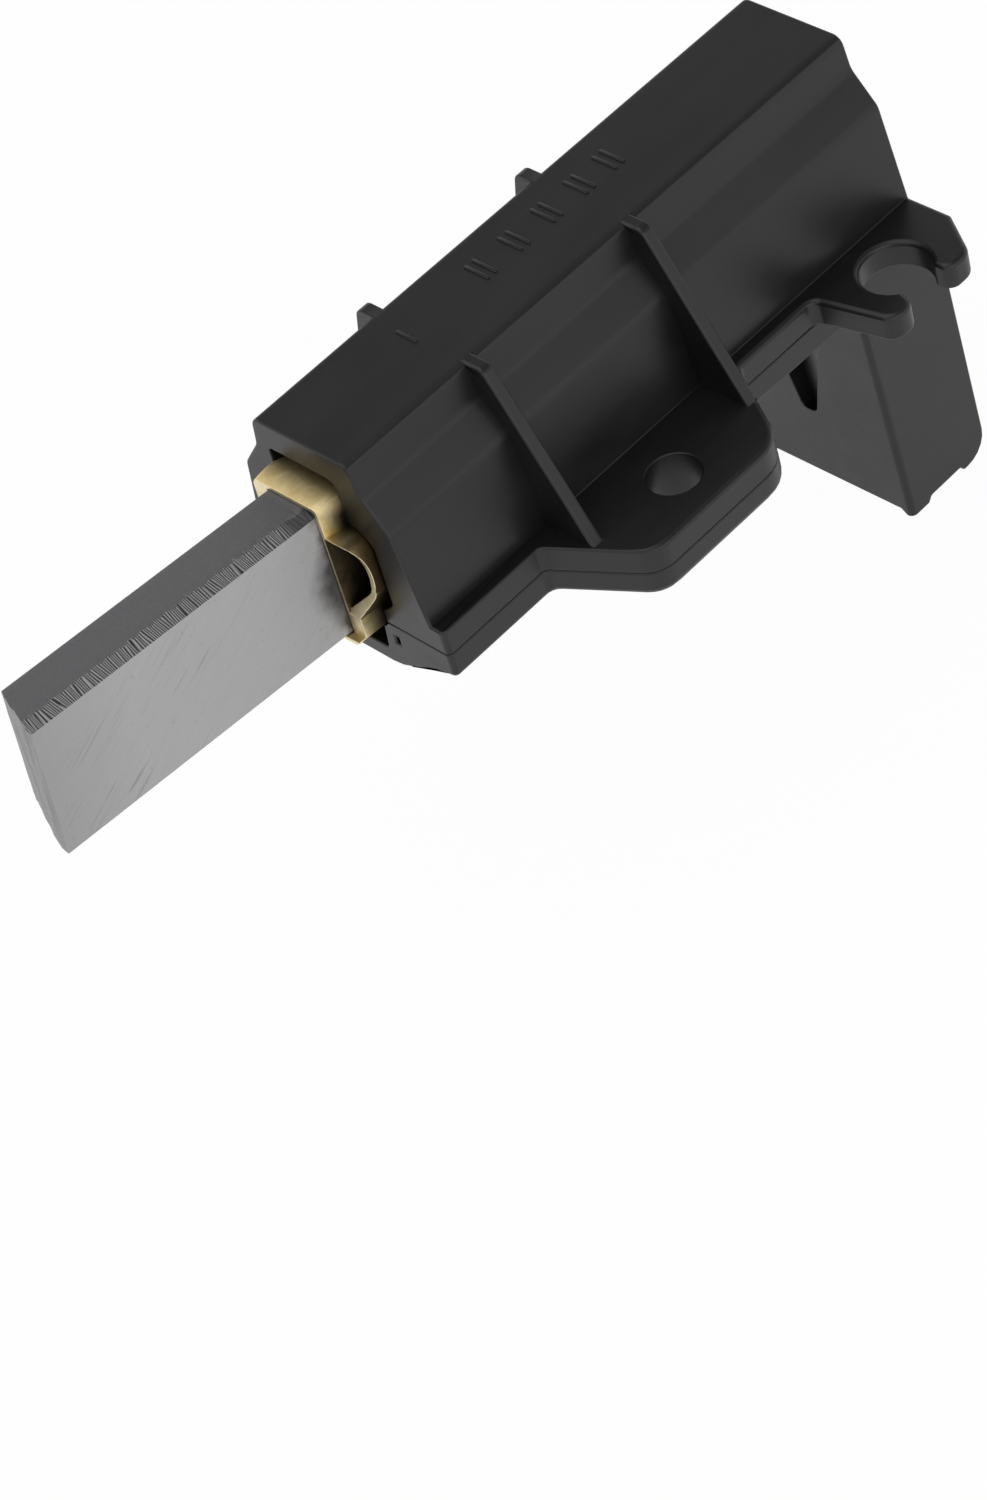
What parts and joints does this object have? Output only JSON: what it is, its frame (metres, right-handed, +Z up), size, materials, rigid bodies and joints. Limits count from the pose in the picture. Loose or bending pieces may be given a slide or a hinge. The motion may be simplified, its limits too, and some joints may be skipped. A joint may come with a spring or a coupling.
{
  "type": "carbon brush with holder",
  "caption": "Moulded motor brush holder with a brass guide sleeve, a spring-loaded carbon block that slides in it, and a hooded blade terminal.",
  "frame": {"origin": "the screw hole's axis at the mounting face, which is the wing's underside", "axes": "+X runs along the holder from the carbon's tip to the rear, +Y points away from the wing, +Z points up out of the mounting face"},
  "size_m": [0.0891, 0.0293, 0.044],
  "materials": {
    "moulded_black": "fine moulded satin",
    "moulded_grey": "fine moulded satin",
    "sleeve_brass": "dull rolled strip with forming marks",
    "carbon": "pressed graphite, rubbed on its wide faces",
    "copper": "bare braided copper",
    "spring_steel": "drawn spring wire",
    "terminal_brass": "stamped, bright"
  },
  "bodies": {
    "holder": {"upper_housing": "moulded_black", "lower_cover": "moulded_grey", "guide_sleeve": "sleeve_brass", "blade_terminal": "terminal_brass", "brush_spring": "spring_steel", "copper_lead": "copper"},
    "brush": {"carbon_block": "carbon", "tamped_joint": "copper"}
  },
  "joints": [
    {"name": "brush_slide", "type": "slide", "parent": "holder", "child": "brush", "axis": [0.9962, 0, -0.0872], "range_m": [0, 0.027], "stiffness_N_per_m": 120, "springref_m": -0.012, "deforming": ["brush_spring", "copper_lead"]}
  ]
}
